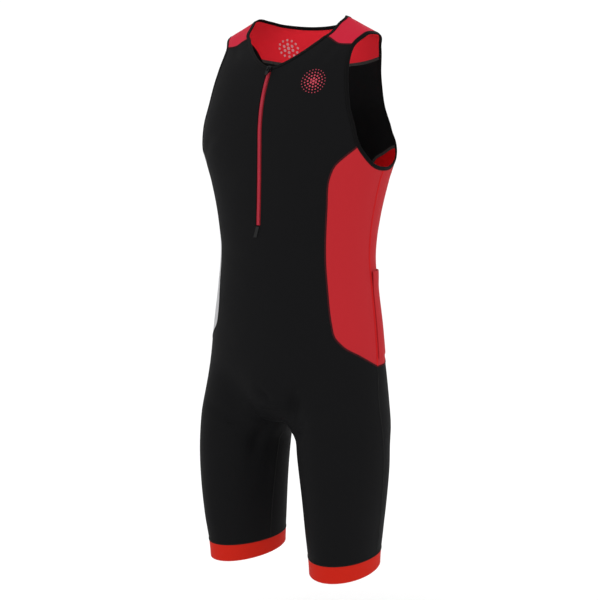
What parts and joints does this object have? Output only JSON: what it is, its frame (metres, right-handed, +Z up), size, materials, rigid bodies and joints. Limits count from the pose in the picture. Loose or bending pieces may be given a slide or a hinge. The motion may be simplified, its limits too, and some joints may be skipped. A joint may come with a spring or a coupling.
{
  "type": "triathlon suit",
  "caption": "Sleeveless one-piece triathlon suit with short legs, a front zip, contrast shoulders, side panels and leg bands, hollow and shaped as worn.",
  "frame": {"origin": "on the axis of the neck, level with the tops of the shoulders, where the wearer holds the suit up", "axes": "+Z up along the wearer, the front faces -Y, the wearer's left is +X"},
  "size_m": [0.3596, 0.2094, 0.9272],
  "materials": {
    "black_knit": "matt black knitted polyamide and elastane",
    "red_knit": "matt red knitted polyamide and elastane",
    "coral_knit": "matt coral red knitted polyamide and elastane",
    "grey_knit": "matt light grey knitted polyamide and elastane",
    "black_binding": "matt black folded elastic",
    "orange_red_band": "matt orange red knitted band",
    "red_zip": "red polyester coil",
    "black_metal": "satin black lacquered zinc"
  },
  "bodies": {
    "garment": {"front_panel": "black_knit", "back_panel": "black_knit", "yoke": "coral_knit", "side_front_left": "red_knit", "side_back_left": "red_knit", "pocket_left": "red_knit", "side_front_right": "grey_knit", "side_back_right": "grey_knit", "pocket_right": "grey_knit", "armhole_binding_left": "black_binding", "armhole_binding_right": "black_binding", "neck_binding": "black_binding", "leg_band_left": "orange_red_band", "leg_band_right": "orange_red_band", "zip_tape": "red_zip", "zip_chain": "red_zip", "zip_stay": "black_binding", "zip_slider": "black_metal"},
    "pull": {"zip_pull": "black_metal"}
  },
  "joints": [
    {"name": "pull_hinge", "type": "hinge", "parent": "garment", "child": "pull", "pos_m": [0, -0.09641, -0.09433], "axis": [-1, 0, 0], "range_deg": [0, 150]}
  ]
}
